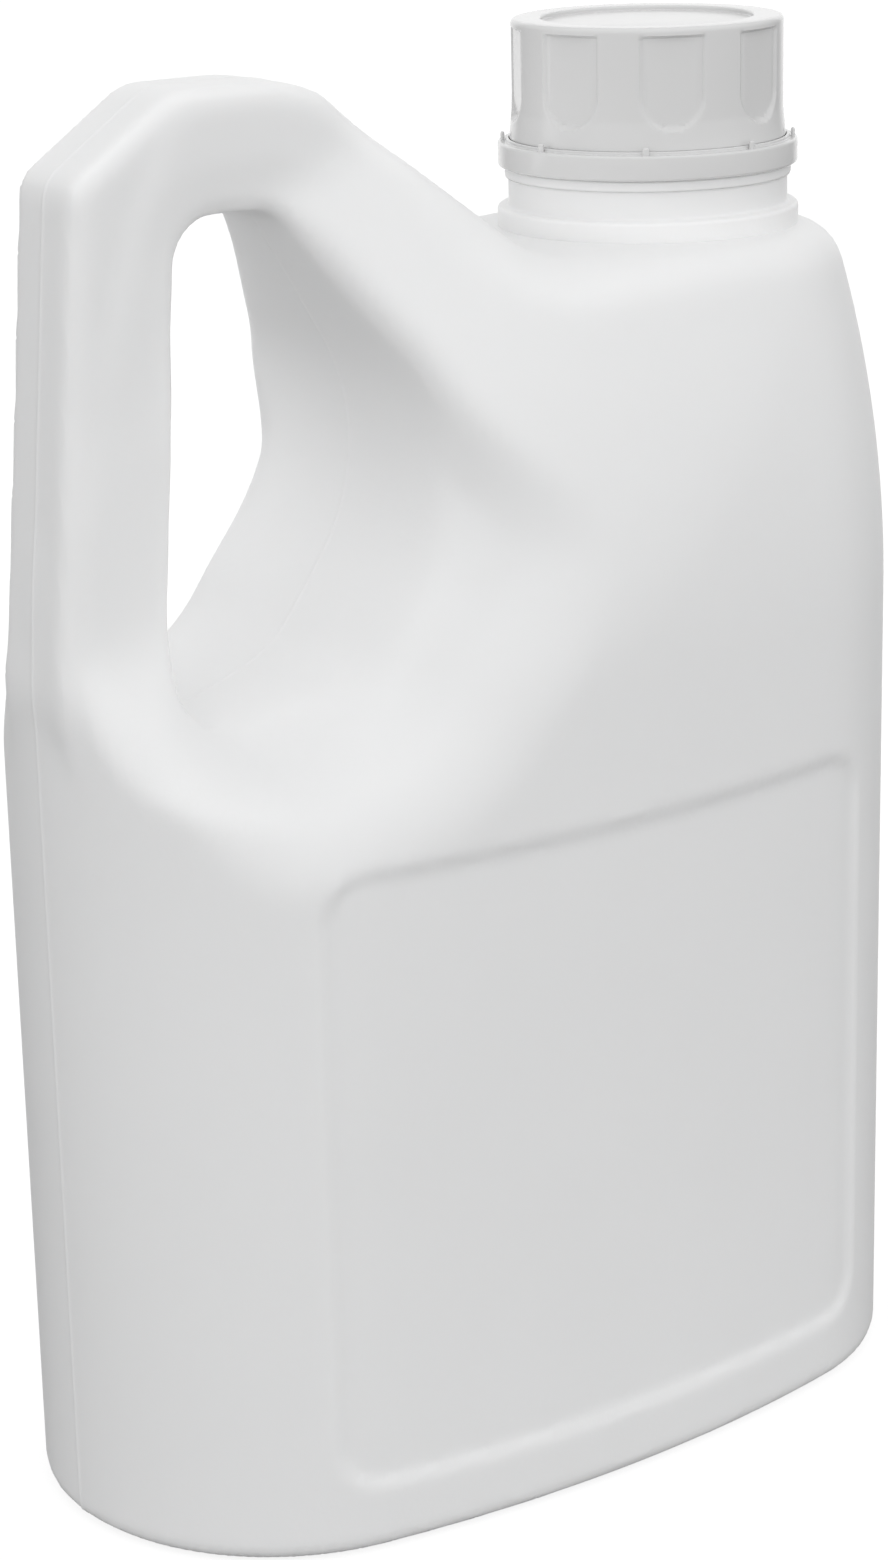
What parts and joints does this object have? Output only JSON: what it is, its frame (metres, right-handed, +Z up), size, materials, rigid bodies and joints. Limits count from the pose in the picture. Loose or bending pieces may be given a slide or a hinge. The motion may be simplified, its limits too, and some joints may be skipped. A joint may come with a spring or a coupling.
{
  "type": "detergent bottle",
  "caption": "Blow-moulded jug with a through handle, two sunk label panels and a threaded neck, closed by a fluted screw cap over a tamper band.",
  "frame": {"origin": "on the floor, under the middle of the body's oval", "axes": "+Z up; +X along the body's length towards the neck, with the handle at -X; -Y out of the front label face; the mould parts on the plane y = 0"},
  "size_m": [0.1756, 0.097, 0.2543],
  "materials": {
    "jug_plastic": "satin natural-white polyethylene, slightly translucent",
    "cap_plastic": "glossy white polypropylene",
    "liner_foam": "fine closed-cell white foam"
  },
  "bodies": {
    "jug": {"bottle": "jug_plastic"},
    "seal": {"cap_liner": "liner_foam"},
    "closure": {"screw_cap": "cap_plastic"},
    "ring": {"tamper_band": "cap_plastic", "break_bridges": "cap_plastic"}
  },
  "joints": [
    {"name": "cap_rise", "type": "slide", "parent": "jug", "child": "seal", "axis": [0, 0, 1], "range_m": [0, 0.01]},
    {"name": "cap_turn", "type": "hinge", "parent": "seal", "child": "closure", "pos_m": [0.0447, 0, 0.2523], "axis": [0, 0, 1], "range_deg": [0, 900]},
    {"name": "band_spin", "type": "hinge", "parent": "jug", "child": "ring", "pos_m": [0.0447, 0, 0.2305], "axis": [0, 0, 1], "continuous": true}
  ],
  "couplings": [
    {"joint": "cap_rise", "follows": "cap_turn", "m_per_rad": 0.0006366}
  ]
}
